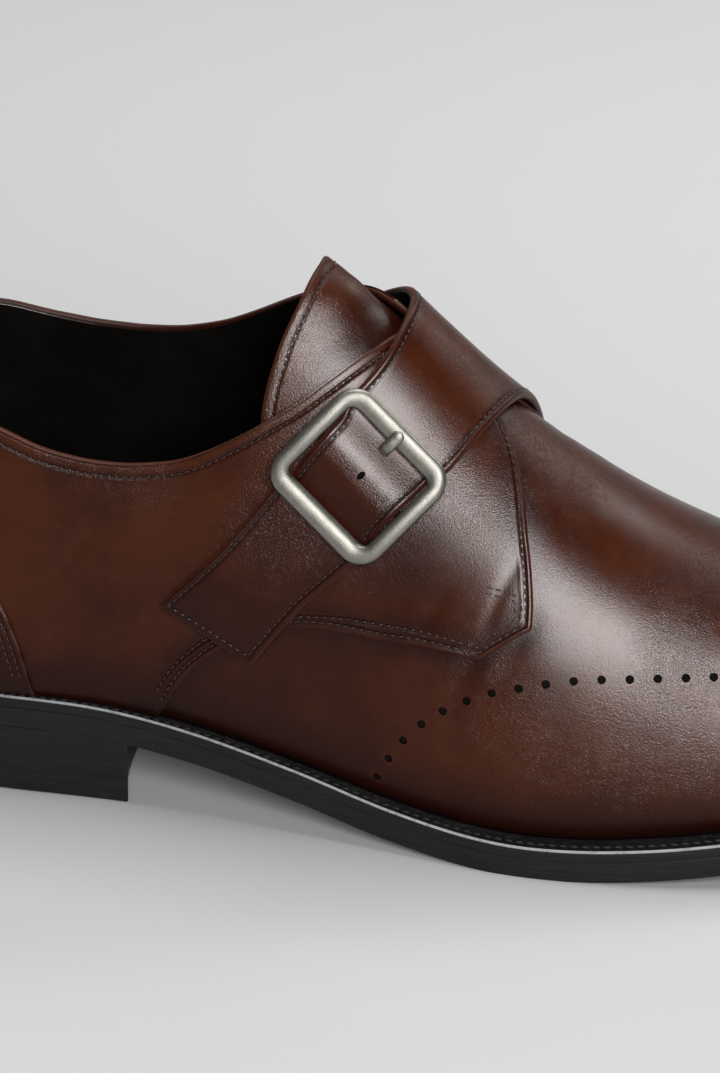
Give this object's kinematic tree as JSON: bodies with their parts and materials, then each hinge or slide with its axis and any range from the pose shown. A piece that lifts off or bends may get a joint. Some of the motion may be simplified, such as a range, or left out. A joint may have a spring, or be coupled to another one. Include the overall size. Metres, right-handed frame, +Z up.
{
  "type": "monk strap shoe",
  "caption": "Right dress shoe with a low collar, a tongue, a broad strap over the instep held by a square buckle, a welted leather sole and a stacked heel.",
  "frame": {"origin": "on the floor, under the middle of the shoe's own length and width", "axes": "+X towards the toe, +Y towards the inner side of the foot, +Z up"},
  "size_m": [0.2866, 0.0988, 0.1381],
  "materials": {
    "sole_edge": "black edge dressing, satin",
    "upper_leather": "burnished chestnut brown, satin gloss",
    "lining": "matt near black",
    "buckle": "antiqued nickel, satin"
  },
  "bodies": {
    "root": {"outsole": "sole_edge", "heel": "sole_edge", "welt": "sole_edge", "insole": "lining", "upper": "upper_leather", "tongue": "upper_leather", "strap": "upper_leather", "buckle_frame": "buckle", "buckle_prong": "buckle"}
  },
  "joints": []
}
